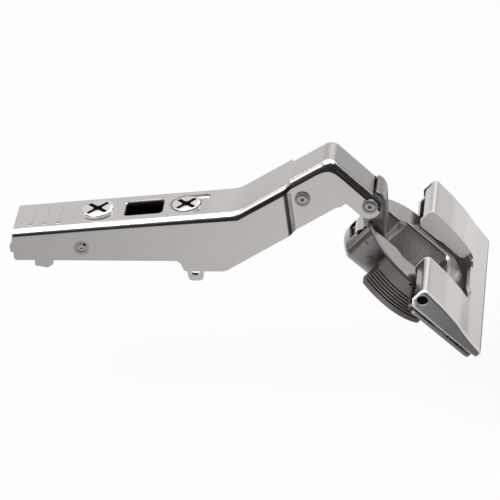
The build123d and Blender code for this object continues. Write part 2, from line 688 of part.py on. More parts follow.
def jaw(side):
    """A ribbed spreading jaw on one side of the tub, held by a tongue above the flange."""
    top = -RIM_T - PLATE_T - 0.1
    with BuildPart() as body:
        with BuildSketch(BOSS_TOP.offset(top)):
            Circle(JAW_R)
            with Locations((1.45, side * (JAW_INNER + 10))):
                Rectangle(20.3, 20, mode=Mode.INTERSECT)
        extrude(amount=-11.4 - top)
        with BuildSketch(BOSS_TOP.offset(-RIM_T - 0.1)):
            Circle(JAW_R)
            with Locations((-4.4, side * (JAW_INNER + 10))):
                Rectangle(8.6, 20, mode=Mode.INTERSECT)
        extrude(amount=-1.4)
        for rib in range(RIB_COUNT):
            with BuildSketch(BOSS_TOP.offset(-4.95 - rib * RIB_PITCH)):
                Circle(JAW_R + 1)
                Circle(JAW_R - 0.7, mode=Mode.SUBTRACT)
            extrude(amount=-0.45, mode=Mode.SUBTRACT)
        with BuildSketch(BOSS_TOP.offset(top - 0.2)):
            with Locations((sum(TONGUE_U) / 2, side * sum(TONGUE_Y) / 2)):
                Rectangle(TONGUE_U[1] - TONGUE_U[0], TONGUE_Y[1] - TONGUE_Y[0])
        extrude(amount=0.9 - top + 0.2)
        with BuildSketch(BOSS_TOP.offset(0.1)):
            with Locations((sum(TONGUE_U) / 2, side * (TONGUE_Y[0] + TONGUE_HEAD_Y) / 2)):
                Rectangle(TONGUE_U[1] - TONGUE_U[0], TONGUE_HEAD_Y - TONGUE_Y[0])
        extrude(amount=0.8)
    return body.part


jaw_near = jaw(-1)
jaw_near.label = "jaw_near"
jaw_far = jaw(1)
jaw_far.label = "jaw_far"

for piece in (
    hinge_arm.part, clip_carrier.part, clip_lever_pin, clip_lever.part, clip_lever_spring.part, rear_pivot_pin,
    depth_cam.part, side_screw.part, outer_link_rivet, inner_link_rivet, outer_link.part, inner_link.part,
    boss_cup.part, boss_plate.part, cup_pin_outer, cup_pin_inner, closing_spring.part, flip_lever.part,
    lever_pin_near, lever_pin_far, jaw_near, jaw_far,
):
    export_step(piece, "parts/" + piece.label + ".step")
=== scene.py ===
"""Finish, springs and studio of an angled clip hinge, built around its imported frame."""

from math import cos, pi, radians, sin, tan

import bpy
from mathutils import Matrix, Vector


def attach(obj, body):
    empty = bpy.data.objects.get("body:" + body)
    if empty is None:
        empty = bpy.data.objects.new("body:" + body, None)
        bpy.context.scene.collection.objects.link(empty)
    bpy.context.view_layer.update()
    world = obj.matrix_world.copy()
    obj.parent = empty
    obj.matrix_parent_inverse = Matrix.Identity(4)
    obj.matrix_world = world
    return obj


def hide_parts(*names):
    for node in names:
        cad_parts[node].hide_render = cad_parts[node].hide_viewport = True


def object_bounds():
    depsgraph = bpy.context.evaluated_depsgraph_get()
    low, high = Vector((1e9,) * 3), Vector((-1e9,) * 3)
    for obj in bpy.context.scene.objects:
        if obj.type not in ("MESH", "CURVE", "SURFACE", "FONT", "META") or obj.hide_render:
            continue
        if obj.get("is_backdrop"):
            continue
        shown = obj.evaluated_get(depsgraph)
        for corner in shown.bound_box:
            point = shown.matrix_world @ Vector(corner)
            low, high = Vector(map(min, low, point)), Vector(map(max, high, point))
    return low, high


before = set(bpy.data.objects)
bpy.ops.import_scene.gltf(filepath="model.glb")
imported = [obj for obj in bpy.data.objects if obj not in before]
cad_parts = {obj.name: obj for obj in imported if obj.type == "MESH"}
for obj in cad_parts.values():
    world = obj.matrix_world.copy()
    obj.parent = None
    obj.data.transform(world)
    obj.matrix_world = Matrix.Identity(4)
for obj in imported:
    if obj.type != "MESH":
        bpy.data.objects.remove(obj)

bl_info = {
    "name": "Angled clip hinge",
    "version": (1, 0, 0),
    "blender": (4, 5, 0),
    "location": "3D View > Sidebar > Hinge",
    "description": "Finishes the sheet, pins, jaws and springs of a cabinet hinge and lights them",
    "category": "Object",
}

MM = 0.001
CAD_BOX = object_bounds()

# Places on the hinge in millimetres, from the arm's rear end and lower edge, as in the CAD.
SEAT = Vector((25.0, 0.0, 5.9))
TOP_SLOPE = radians(5.48)
TOP_HEIGHT = 8.95
DEPTH_CAM_X = 23.5
WINDOW_X = 36.5
SIDE_SCREW_X = 48.4
REAR_PIN = (19.27, 4.1)
OUTER_RIVET = (100.13, 16.86)
INNER_RIVET = (81.56, 19.04)
LEVER_PIN = (7.6, 3.6)
JOGGLE = (78.1, 16.0)
JOGGLE_LEAN = radians(4.54)
NOSE_CORNER = (89.62, 31.5)
BOSS = (112.29, -0.38)

# Directions: square to the rise, along and square to the nose, and ahead of and out of the boss.
RISE_UP = (-0.5245, 0.0, 0.8514)
NOSE_ALONG = (0.7027, 0.0, -0.7115)
NOSE_UP = (0.7115, 0.0, 0.7027)
BOSS_TILT = radians(46.0)
BOSS_AHEAD = Vector((sin(BOSS_TILT), 0.0, -cos(BOSS_TILT)))
BOSS_UP = Vector((cos(BOSS_TILT), 0.0, sin(BOSS_TILT)))

# The arm's painted shade and light in millimetres: from where to where it fades, or its first and
# last place.
CHANNEL_DEPTH, CHANNEL_SIDE, CHANNEL_FRONT = (-1.1, -0.6), (7.5, 7.9), (57.0, 61.0)
WINDOW_DEPTH, WINDOW_SIDE, WINDOW_HALF = (-0.3, -0.2), (4.2, 4.4), 6.1
BEVEL_DEPTH, BEVEL_SIDE, BEVEL_HALF = (-0.03, -0.01), (3.5, 4.1), 5.5
FLANK_SIDE, FLANK_HEIGHT = (6.6, 8.24), (5.8, 7.2)
JOGGLE_LINE, JOGGLE_STRIP = (-1.2, -0.35), (-0.1, 0.8)
NOSE_SKIN, NOSE_START = (-0.4, -0.15), (1.5, 3.0)
RIDGE_ROUND, RIDGE_SIDE = (1.9, 2.9), (4.4, 5.4)
CARRIER_RISE = (-5.0, -3.0)

# Painted dark reflection lines and a painted highlight along the arm's folded edges, in
# millimetres, counted down from its top skin.
FOLD_ROUNDING = 5.4
DARK_FROM_REAR, DARK_FROM_RISE, DARK_FROM_ALONG = 1.0, 0.78, (58.0, 68.0)
DARK_TO_REAR, DARK_TO_NOSE, DARK_TO_ALONG = 1.45, 2.05, (20.0, 88.0)
DARK_SIDE = (6.35, 6.5)
EDGE_HIGHLIGHT, EDGE_HIGHLIGHT_SIDE, EDGE_HIGHLIGHT_ALONG = (0.35, 0.7), (5.1, 5.3), (65.0, 88.0)

# The boss's painted shade and light in millimetres, the same way, counted ahead, aside, out and
# from its axis.
REAR_FACE, NEAR_WING = (-0.95, -0.8), (-12.0, -11.0)
WING_WALL, WING_EDGE = (30.85, 30.95), (30.15, 30.8)
SLOT_SIDE, SLOT_FRONT = (12.3, 12.85), (15.5, 16.5)
GATE_SIDE, TUB_SIDE, TUB_REAR = (7.3, 7.7), (9.3, 9.7), (-6.0, -5.0)
TUB_FLOOR, FLANGE_UNDER = (-11.9, -11.7), (-1.3, -0.9)
RIM_ROUND, RIM_EDGE = (17.7, 17.8), (-1.0, -0.8)
GROOVE_ROUND, GROOVE_TOP = (17.2, 17.42), (-5.0, -4.9)

# Pins and screw heads in millimetres: where their painted shade and painted light lie.
RING_WIDTH, RING_LIT = (-0.15, 0.12), (-1.2, 1.0)
DIMPLE = (0.35, 0.6)
RECESS_FLOOR, RECESS_END = (-0.25, -0.08), 0.15
HEAD_TOP, HEAD_EDGE = (-0.3, -0.25), (0.45, 0.6)
SKIRT, SKIRT_EDGE = (-0.85, -0.3), (0.5, 0.6)

# Patterns in features per metre, depths of relief in metres, and a screw head's crown per metre.
STREAKS, CLOUDS, SPECKS = 2600.0, 90.0, 2400.0
LATHE_MARKS, STEEL_CLOUDS, FINE_MARKS = 3800.0, 160.0, 2600.0
ORANGE_PEEL, CAST_CLOUDS = 1500.0, 120.0
LATHE_DEPTH, STAKED_DEPTH, HEAD_DEPTH, CAST_DEPTH = 0.000006, 0.00005, 0.00001, 0.00003
CROWN = -26.0

# Springs in millimetres and turns. The deep pin is counted ahead of and out of the boss.
WIRE_RADIUS = 0.24
WIRE_SIDES = 12
COIL_STEPS = 24
DEEP_PIN = (-9.95, -8.3)
CLOSING_COIL = {"radius": 1.6, "first": -6.78, "last": -5.82, "turns": 2.25, "angle": -pi / 2}
DEEP_LEG, BACK_LEG, LEG_BEND = 11.6, 1.6, 0.4
LEVER_COIL = {"radius": 1.55, "first": -2.15, "last": 2.15, "turns": 8.5, "angle": pi / 2}
LEVER_LEG, CARRIER_LEG = 5.5, 6.0

X, Y, Z = Vector((1, 0, 0)), Vector((0, 1, 0)), Vector((0, 0, 1))
ROUND_Y, ROUND_Z = (1, 0, 1), (1, 1, 0)
SHADOW = (0.035, 0.028, 0.026, 1.0)
# Colour of the painted highlights.
PAINTED_HIGHLIGHT = (0.93, 0.90, 0.88, 1.0)
# Pale tint that paints light onto the lever's slot walls.
LIT_SLOT_WALL = (0.86, 0.815, 0.79, 1.0)
# Near-black painted shade for the lever pins' ends, deep in their holes.
PIN_HOLE_SHADE = ((0.01, 0.01, 0.01, 1.0), (0.02, 0.02, 0.02, 1.0))
WHITE = (1.0, 1.0, 1.0, 1.0)
FLOOR_PAINT = (0.9, 0.9, 0.9, 1.0)
FLOOR_HALF = 1.5
BOARD_FADE = (-60.0, 75.0)

LINKS = ("clip_lever", "inner_link", "boss_plate")
CUP_PINS = ("cup_pin_outer", "cup_pin_inner")
LEVER_PINS = ("lever_pin_near", "lever_pin_far")
JAWS = ("jaw_near", "jaw_far")


def on_side(x, z):
    """Point on the pivots' plane."""
    return (Vector((x, 0.0, z)) - SEAT) * MM


def on_top(x, rise=0.0):
    """Point over the arm's flat rear top, this far above it."""
    up = Vector((-sin(TOP_SLOPE), 0.0, cos(TOP_SLOPE)))
    return on_side(x, TOP_HEIGHT + x * tan(TOP_SLOPE)) + up * rise * MM


class Wire:
    """A value that runs through a material, with arithmetic that adds its Math nodes."""

    def __init__(self, tree, socket):
        self.tree = tree
        self.socket = socket

    def _joined(self, operation, left, right):
        node = self.tree.nodes.new("ShaderNodeMath")
        node.operation = operation
        for slot, value in zip(node.inputs, (left, right)):
            feed(self.tree, slot, value)
        return Wire(self.tree, node.outputs[0])

    def __add__(self, other):
        return self._joined("ADD", self, other)

    def __radd__(self, other):
        return self._joined("ADD", other, self)

    def __sub__(self, other):
        return self._joined("SUBTRACT", self, other)

    def __rsub__(self, other):
        return self._joined("SUBTRACT", other, self)

    def __mul__(self, other):
        return self._joined("MULTIPLY", self, other)

    def __rmul__(self, other):
        return self._joined("MULTIPLY", other, self)


def feed(tree, slot, value):
    """Link a wire to a node's input, or set the input's own value."""
    if isinstance(value, Wire):
        tree.links.new(value.socket, slot)
    else:
        slot.default_value = value


class Finish:
    """A material or the world under construction. Its ramps take distances in millimetres."""

    def __init__(self, holder, ending="ShaderNodeOutputMaterial"):
        self.holder = holder
        self.ending = ending
        holder.use_nodes = True
        self.tree = holder.node_tree
        self.tree.nodes.clear()

    def add(self, kind, settings=None, values=None, output=0):
        """Add a node with its settings first, then its inputs, and return one output."""
        node = self.tree.nodes.new(kind)
        for key, value in (settings or {}).items():
            setattr(node, key, value)
        for key, value in (values or {}).items():
            feed(self.tree, node.inputs[key], value)
        return Wire(self.tree, node.outputs[output])

    def maths(self, operation, *numbers):
        """A Math node that has no sign in Python."""
        return self.add("ShaderNodeMath", {"operation": operation}, dict(enumerate(numbers)))

    def place(self, stretch=(1, 1, 1), turn=(0, 0, 0)):
        """Object coordinates in metres, stretched and turned for a pattern."""
        here = self.add("ShaderNodeTexCoord", output="Object")
        values = {"Vector": here, "Scale": stretch, "Rotation": turn}
        return self.add("ShaderNodeMapping", values=values)

    def framed(self, origin, turn=0.0):
        """Object coordinates counted from an origin, along axes turned about Y."""
        here = self.add("ShaderNodeTexCoord", output="Object")
        values = {"Vector": here, "Location": origin, "Rotation": (0, turn, 0)}
        return self.add("ShaderNodeMapping", {"vector_type": "TEXTURE"}, values)

    def noise(self, vector, scale, detail=3.0, roughness=0.5):
        """Soft noise from 0 to 1, with its scale in features per metre."""
        values = {"Vector": vector, "Scale": scale, "Detail": detail, "Roughness": roughness}
        return self.add("ShaderNodeTexNoise", values=values)

    def height(self, vector, direction):
        """How far a point lies along a direction."""
        values = {0: vector, 1: direction}
        return self.add("ShaderNodeVectorMath", {"operation": "DOT_PRODUCT"}, values, "Value")

    def spread(self, vector, across):
        """How far a point lies from an axis, with the directions across it marked 1."""
        values = {0: vector, 1: across}
        level = self.add("ShaderNodeVectorMath", {"operation": "MULTIPLY"}, values)
        return self.add("ShaderNodeVectorMath", {"operation": "LENGTH"}, {0: level}, "Value")

    def ramp(self, value, start, end, low=0.0, high=1.0):
        """A smooth step from one number to another while a distance grows."""
        values = {"Value": value, "From Min": start * MM, "From Max": end * MM,
                  "To Min": low, "To Max": high}
        return self.add("ShaderNodeMapRange", {"interpolation_type": "SMOOTHSTEP"}, values)

    def fall(self, value, start, end):
        """One up to a distance, and nought past another."""
        return self.ramp(value, start, end, 1.0, 0.0)

    def band(self, value, first, last, soft):
        """One between two distances, falling to nought outside them over a soft width."""
        return self.ramp(value, first - soft, first) * self.fall(value, last, last + soft)

    def blend(self, factor, low, high):
        """Mix two colours."""
        return self.add("ShaderNodeMix", {"data_type": "RGBA"}, {0: factor, 6: low, 7: high}, 2)

    def bump(self, height, distance, under=None):
        """Turn a height from 0 to 1 into a normal, with the distance in metres."""
        values = {"Height": height, "Distance": distance}
        if under:
            values["Normal"] = under
        return self.add("ShaderNodeBump", values=values)

    def metal(self, colour, metallic, rough, normal):
        """Close the material as a metal."""
        values = {"Base Color": colour, "Metallic": metallic, "Roughness": rough, "Normal": normal}
        return self.close(self.add("ShaderNodeBsdfPrincipled", values=values))

    def close(self, surface):
        """Send a shader to the output."""
        ending = self.tree.nodes.new(self.ending)
        feed(self.tree, ending.inputs["Surface"], surface)
        return self.holder


def new_finish(name):
    """An empty material to build on."""
    return Finish(bpy.data.materials.new(name))


def dulled_and_shaded(colour, dull_and_shade):
    """A colour part of the way to the shadow's."""
    return tuple(own + (dark - own) * dull_and_shade for own, dark in zip(colour, SHADOW))


def plated_sheet(name, tones, shade=None, turn=0.0, grain=1.0, dull_and_shade=0.0):
    """Nickel on rolled sheet: fine grain along the strip, faint clouds and a piece's painted shade
    and light.

    A shade gives masks of painted shade and light, each with its tint and with how much less
    metallic it makes the plating. A whole piece can also be painted part of the way into shade and
    made rougher.
    """
    finish = new_finish(name)
    even = finish.place()
    streaks = finish.noise(finish.place((0.12, 1.0, 1.0), (0, 0, turn)), STREAKS, 4.0, 0.65)
    clouds = finish.noise(even, CLOUDS)
    specks = finish.noise(even, SPECKS, roughness=0.75)
    tone = (streaks - 0.5) * (0.8 * grain) + (clouds - 0.5) * 0.5
    tone = tone + (specks - 0.5) * (1.4 * grain) + 0.5
    colour = finish.blend(tone, dulled_and_shaded(tones.sheet_dark, dull_and_shade), dulled_and_shaded(tones.sheet_light, dull_and_shade))
    rough = tones.sheet_rough + dull_and_shade * 0.25 + (streaks - 0.5) * 0.1 + (clouds - 0.5) * 0.08
    metallic = 1.0
    for mask, tint, paler in shade(finish) if shade else ():
        colour = finish.blend(mask, colour, tint)
        rough = rough + mask * 0.25
        if paler:
            metallic = metallic - mask * paler
    normal = finish.bump(streaks * 0.5 + specks * 0.5, tones.sheet_grain * grain)
    return finish.metal(colour, metallic, rough, normal)


def top_shade(finish, here):
    """Shadow in the arm's channel, in its window and on the window's far bevel."""
    along, depth, aside = finish.height(here, X), finish.height(here, Z), finish.spread(here, Y)
    channel = (finish.fall(depth, *CHANNEL_DEPTH) * finish.fall(aside, *CHANNEL_SIDE)
               * finish.fall(along, *CHANNEL_FRONT))
    window = (finish.fall(depth, *WINDOW_DEPTH) * finish.fall(aside, *WINDOW_SIDE)
              * finish.band(along, WINDOW_X - WINDOW_HALF, WINDOW_X + WINDOW_HALF, 0.2))
    bevel = (finish.fall(depth, *BEVEL_DEPTH)
             * finish.band(finish.height(here, Y), *BEVEL_SIDE, 0.05)
             * finish.band(along, WINDOW_X - BEVEL_HALF, WINDOW_X + BEVEL_HALF, 0.4))
    return (channel, SHADOW, 0), (window, SHADOW, 0), (bevel * 0.85, SHADOW, 0)


def joggle_shade(finish):
    """Painted shade as a dark line and a painted highlight as a bright strip down the flanks, where
    the arm steps in.
    """
    here = finish.framed(on_side(*JOGGLE), -JOGGLE_LEAN)
    flank = (finish.band(finish.spread(here, Y), *FLANK_SIDE, 0.08)
             * finish.fall(finish.height(here, Z), *FLANK_HEIGHT))
    ahead = finish.height(here, X)
    line = flank * finish.band(ahead, *JOGGLE_LINE, 0.3)
    strip = flank * finish.band(ahead, *JOGGLE_STRIP, 0.2)
    return (line * 0.85, SHADOW, 0), (strip, PAINTED_HIGHLIGHT, 0)


def arm_shade(finish):
    """Painted shadow inside, painted dark reflection lines along the folds, painted shade and
    highlight at the joggle, a painted highlight on the rise's edges, and painted shade on the nose
    and apex ridge.
    """
    here = finish.framed(on_top(0.0), -TOP_SLOPE)
    along, aside = finish.height(here, X), finish.spread(here, Y)

    corner = finish.framed(on_side(*NOSE_CORNER))
    nose = finish.height(corner, NOSE_UP)
    # Painted shade on the nose's top and on the ridge at the apex.
    skin = (finish.ramp(nose, *NOSE_SKIN)
            * finish.ramp(finish.height(corner, NOSE_ALONG), *NOSE_START))
    ridge = (finish.fall(finish.spread(corner, ROUND_Y), *RIDGE_ROUND)
             * finish.fall(finish.spread(corner, Y), *RIDGE_SIDE))

    rear, rise = finish.height(here, Z), finish.height(corner, RISE_UP)
    below = finish.maths("MAXIMUM", 0.0 - rear, 0.0 - rise)
    below = finish.maths("SMOOTH_MIN", below, 0.0 - nose, FOLD_ROUNDING * MM)
    start = finish.ramp(along, *DARK_FROM_ALONG, DARK_FROM_REAR * MM, DARK_FROM_RISE * MM)
    end = finish.ramp(along, *DARK_TO_ALONG, DARK_TO_REAR * MM, DARK_TO_NOSE * MM)
    # Painted dark reflection lines along the folds.
    dark = (finish.ramp(below - start, 0.0, 0.2) * finish.fall(below - end, 0.0, 0.25)
            * finish.ramp(aside, *DARK_SIDE))
    # Painted highlight along the rise's folded edges: a pale tint made less metallic.
    edge_highlight = (finish.band(below, *EDGE_HIGHLIGHT, 0.12) * finish.ramp(aside, *EDGE_HIGHLIGHT_SIDE)
              * finish.band(along, *EDGE_HIGHLIGHT_ALONG, 1.5))
    return (
        *top_shade(finish, here), *joggle_shade(finish),
        (edge_highlight, PAINTED_HIGHLIGHT, 0.65), (dark * 0.96, SHADOW, 0), (skin * 0.27 + ridge * 0.24, SHADOW, 0))


def carrier_shade(finish):
    """Shadow on the carrier above the arm's lower edge."""
    return ((finish.ramp(finish.height(finish.place(), Z), *CARRIER_RISE), SHADOW, 0),)


def from_boss(finish):
    """Object coordinates counted from the boss: ahead of it, to its side and out of it."""
    return finish.framed(on_side(*BOSS), pi / 2 - BOSS_TILT)


def lever_shade(finish):
    """Painted highlights on the wings' edges, painted light on the slot walls, and painted shade on
    the side walls and the near rear face.
    """
    here = from_boss(finish)
    ahead, aside = finish.height(here, X), finish.spread(here, Y)
    # Painted shade on the near rear face and the side walls, painted highlights and painted light.
    rear = finish.fall(ahead, *REAR_FACE) * finish.fall(finish.height(here, Y), *NEAR_WING)
    walls = finish.ramp(aside, *WING_WALL)
    edge = finish.band(aside, *WING_EDGE, 0.1)
    slot = finish.band(aside, *SLOT_SIDE, 0.1) * finish.fall(ahead, *SLOT_FRONT)
    return (
        (rear * 0.12, SHADOW, 0), (walls * 0.2, SHADOW, 0),
        (edge, PAINTED_HIGHLIGHT, 0.8), (slot, LIT_SLOT_WALL, 0.7))


def cup_shade(finish):
    """Painted shade over the drawn cup, deepest on the tub's outside, and a painted dark line along
    the rim's edge.
    """
    here = from_boss(finish)
    aside, out = finish.spread(here, Y), finish.height(here, Z)
    gate = finish.fall(aside, *GATE_SIDE)
    well = finish.fall(aside, *TUB_SIDE) * finish.ramp(finish.height(here, X), *TUB_REAR)
    inside = finish.maths("MAXIMUM", gate, well) * finish.ramp(out, *TUB_FLOOR)
    tub = finish.fall(out, *FLANGE_UNDER)
    rim_shade = finish.ramp(finish.spread(here, ROUND_Z), *RIM_ROUND) * finish.ramp(out, *RIM_EDGE)
    # Painted shade over the cup, and a painted dark line at the rim's edge.
    return (0.2 + tub * (0.33 - inside * 0.38), SHADOW, 0), (rim_shade * 0.75, SHADOW, 0)


def turned_steel(name, dark, light, rough):
    """Plated turned steel with fine lathe marks."""
    finish = new_finish(name)
    marks = finish.noise(finish.place((1.0, 0.3, 1.0)), LATHE_MARKS, roughness=0.6)
    clouds = finish.noise(finish.place(), STEEL_CLOUDS, 2.0)
    colour = finish.blend(marks * 0.5 + clouds * 0.5, dark, light)
    relief = finish.bump(marks, LATHE_DEPTH)
    return finish.metal(colour, 1.0, rough + (marks - 0.5) * 0.15, relief)


def staked_pin(name, tones, place, ring_shade=0.8, ring_reach=1.78, punch=(0.0, 0.0)):
    """Pin end with painted shade in a ring, deepest towards the top, and painted shade in a dimple
    left by the punch this far off centre.
    """
    finish = new_finish(name)
    marks = finish.noise(finish.place(), FINE_MARKS, roughness=0.6)
    here = finish.framed(on_side(*place))
    first, last = (ring_reach + half for half in RING_WIDTH)
    ring = finish.band(finish.spread(here, ROUND_Y), first, last, 0.2)
    # Painted shade: the ring is darker towards the top, like light from above.
    ring = ring * finish.ramp(finish.height(here, Z), *RING_LIT, 0.3, 1.0)
    spot = finish.framed(on_side(place[0] + punch[0], place[1] + punch[1]))
    dimple = finish.fall(finish.spread(spot, ROUND_Y), *DIMPLE)
    colour = finish.blend(marks, tones.pin_dark[:], tones.pin_light[:])
    colour = finish.blend(ring * ring_shade + dimple * 0.85, colour, SHADOW)
    relief = finish.bump(marks, STAKED_DEPTH)
    return finish.metal(colour, 1.0, 0.3 + (marks - 0.5) * 0.3, relief)


def screw_head(name, tones, x, rise, reach, rim_shade=0.0):
    """Bright crowned head with a cross recess of this reach: painted shade in the recess, painted
    light on a pale skirt and maybe a painted shade line at the rim.
    """
    finish = new_finish(name)
    here = finish.framed(on_top(x, rise), -TOP_SLOPE)
    depth, round_axis = finish.height(here, Z), finish.spread(here, ROUND_Z)
    past = round_axis - reach * MM
    marks = finish.noise(finish.place(), FINE_MARKS, roughness=0.6)
    # Painted shade in the recess, a painted shade line at the rim and painted light on the skirt.
    sunk = finish.fall(depth, *RECESS_FLOOR) * finish.fall(past, 0.0, RECESS_END)
    edge = finish.ramp(depth, *HEAD_TOP) * finish.ramp(past, *HEAD_EDGE)
    skirt = finish.band(depth, *SKIRT, 0.1) * finish.ramp(past, *SKIRT_EDGE)
    colour = finish.blend(marks, tones.head_dark[:], tones.head_light[:])
    colour = finish.blend(sunk + edge * rim_shade, colour, SHADOW)
    rough = 0.2 + sunk * 0.4 + (marks - 0.5) * 0.1
    relief = finish.bump(marks, HEAD_DEPTH)
    relief = finish.bump(round_axis * round_axis * CROWN, 1.0, under=relief)
    return finish.metal(colour, 1.0 - skirt * 0.7, rough, relief)


def cast_metal(name, dark, light, rough):
    """Plated die casting: matte skin with a soft orange peel, and painted shade in the grooves
    between its ribs.
    """
    finish = new_finish(name)
    here = from_boss(finish)
    # Painted shade in the grooves.
    groove = (finish.fall(finish.spread(here, ROUND_Z), *GROOVE_ROUND)
              * finish.fall(finish.height(here, Z), *GROOVE_TOP))
    even = finish.place()
    peel = finish.noise(even, ORANGE_PEEL, roughness=0.55)
    clouds = finish.noise(even, CAST_CLOUDS)
    colour = finish.blend(peel * 0.4 + clouds * 0.6, dark, light)
    colour = finish.blend(groove * 0.75, colour, SHADOW)
    relief = finish.bump(peel, CAST_DEPTH)
    return finish.metal(colour, 1.0, rough + (peel - 0.5) * 0.12, relief)


def dress(nodes, material):
    """Give CAD nodes one material."""
    for node in nodes:
        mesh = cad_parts[node].data
        mesh.materials.clear()
        mesh.materials.append(material)


def linked(name, data):
    """A new object in the scene."""
    thing = bpy.data.objects.new(name, data)
    bpy.context.scene.collection.objects.link(thing)
    return thing


def wire_tree():
    """Geometry nodes that turn a path into round wire."""
    tree = bpy.data.node_groups.new("spring_wire", "GeometryNodeTree")
    tree.interface.new_socket("Geometry", in_out="INPUT", socket_type="NodeSocketGeometry")
    tree.interface.new_socket("Wire radius", in_out="INPUT", socket_type="NodeSocketFloat")
    tree.interface.new_socket("Sides", in_out="INPUT", socket_type="NodeSocketInt")
    tree.interface.new_socket("Material", in_out="INPUT", socket_type="NodeSocketMaterial")
    tree.interface.new_socket("Geometry", in_out="OUTPUT", socket_type="NodeSocketGeometry")
    given = tree.nodes.new("NodeGroupInput")
    section = tree.nodes.new("GeometryNodeCurvePrimitiveCircle")
    body = tree.nodes.new("GeometryNodeCurveToMesh")
    body.inputs["Fill Caps"].default_value = True
    smooth = tree.nodes.new("GeometryNodeSetShadeSmooth")
    real = tree.nodes.new("GeometryNodeRealizeInstances")
    paint = tree.nodes.new("GeometryNodeSetMaterial")
    out = tree.nodes.new("NodeGroupOutput")
    for source, target in (
        (given.outputs["Geometry"], body.inputs["Curve"]),
        (given.outputs["Sides"], section.inputs["Resolution"]),
        (given.outputs["Wire radius"], section.inputs["Radius"]),
        (section.outputs["Curve"], body.inputs["Profile Curve"]),
        (body.outputs["Mesh"], smooth.inputs["Geometry"]),
        (smooth.outputs["Geometry"], real.inputs["Geometry"]),
        (real.outputs["Geometry"], paint.inputs["Geometry"]),
        (given.outputs["Material"], paint.inputs["Material"]),
        (paint.outputs["Geometry"], out.inputs["Geometry"]),
    ):
        tree.links.new(source, target)
    return tree


def wire(name, path, tree, material):
    """A plain mesh of wire along a path."""
    curve = bpy.data.curves.new(name + "_path", "CURVE")
    curve.dimensions = "3D"
    spline = curve.splines.new("POLY")
    spline.points.add(len(path) - 1)
    for point, place in zip(spline.points, path):
        point.co = (*place, 1.0)
    guide = linked(name + "_path", curve)
    modifier = guide.modifiers.new("wire", "NODES")
    modifier.node_group = tree
    values = {"Wire radius": WIRE_RADIUS * MM, "Sides": WIRE_SIDES, "Material": material}
    for socket in tree.interface.items_tree:
        if socket.name in values:
            modifier[socket.identifier] = values[socket.name]
    bpy.context.view_layer.update()
    made = guide.evaluated_get(bpy.context.evaluated_depsgraph_get())
    mesh = bpy.data.meshes.new_from_object(made)
    guide.modifiers.remove(modifier)
    bpy.data.objects.remove(guide)
    mesh.name = name
    return linked(name, mesh)


def helix(centre, ahead, up, radius, first, last, turns, angle):
    """Points of a coil about Y, from one width to another, ending at this angle."""
    steps = round(COIL_STEPS * turns)
    points = []
    for step in range(steps + 1):
        part = step / steps
        a = angle - 2 * pi * turns * (1 - part)
        spoke = (ahead * cos(a) + up * sin(a)) * radius
        points.append(centre + (spoke + Y * (first + (last - first) * part)) * MM)
    return points


class HingeColours(bpy.types.PropertyGroup):
    """Colours and gloss of the hinge's finishes."""

    sheet_dark: bpy.props.FloatVectorProperty(
        name="Sheet, dark", description="Darker tone of the plated sheet",
        subtype="COLOR", size=4, min=0.0, max=1.0, default=(0.63, 0.605, 0.585, 1.0))
    sheet_light: bpy.props.FloatVectorProperty(
        name="Sheet, light", description="Lighter tone of the plated sheet",
        subtype="COLOR", size=4, min=0.0, max=1.0, default=(0.76, 0.735, 0.715, 1.0))
    sheet_rough: bpy.props.FloatProperty(
        name="Sheet roughness", description="Mean roughness of the plated sheet",
        subtype="FACTOR", default=0.24, min=0.0, max=1.0)
    sheet_grain: bpy.props.FloatProperty(
        name="Sheet grain", description="Depth of the rolled grain",
        unit="LENGTH", default=0.000006)
    steel_dark: bpy.props.FloatVectorProperty(
        name="Steel, dark", description="Darker tone of the release lever's pin",
        subtype="COLOR", size=4, min=0.0, max=1.0, default=(0.66, 0.64, 0.62, 1.0))
    steel_light: bpy.props.FloatVectorProperty(
        name="Steel, light", description="Lighter tone of the release lever's pin",
        subtype="COLOR", size=4, min=0.0, max=1.0, default=(0.82, 0.80, 0.78, 1.0))
    head_dark: bpy.props.FloatVectorProperty(
        name="Screw head, dark", description="Darker tone of the screw heads",
        subtype="COLOR", size=4, min=0.0, max=1.0, default=(0.82, 0.80, 0.78, 1.0))
    head_light: bpy.props.FloatVectorProperty(
        name="Screw head, light", description="Lighter tone of the screw heads",
        subtype="COLOR", size=4, min=0.0, max=1.0, default=(0.97, 0.95, 0.93, 1.0))
    pin_dark: bpy.props.FloatVectorProperty(
        name="Pin end, dark", description="Darker tone of the pin ends in the arm's side",
        subtype="COLOR", size=4, min=0.0, max=1.0, default=(0.42, 0.40, 0.385, 1.0))
    pin_light: bpy.props.FloatVectorProperty(
        name="Pin end, light", description="Lighter tone of the pin ends in the arm's side",
        subtype="COLOR", size=4, min=0.0, max=1.0, default=(0.68, 0.655, 0.635, 1.0))
    jaw_dark: bpy.props.FloatVectorProperty(
        name="Jaw, dark", description="Darker tone of the jaws, the springs and the tub's pins",
        subtype="COLOR", size=4, min=0.0, max=1.0, default=(0.30, 0.27, 0.26, 1.0))
    jaw_light: bpy.props.FloatVectorProperty(
        name="Jaw, light", description="Lighter tone of the jaws, the springs and the tub's pins",
        subtype="COLOR", size=4, min=0.0, max=1.0, default=(0.44, 0.40, 0.385, 1.0))


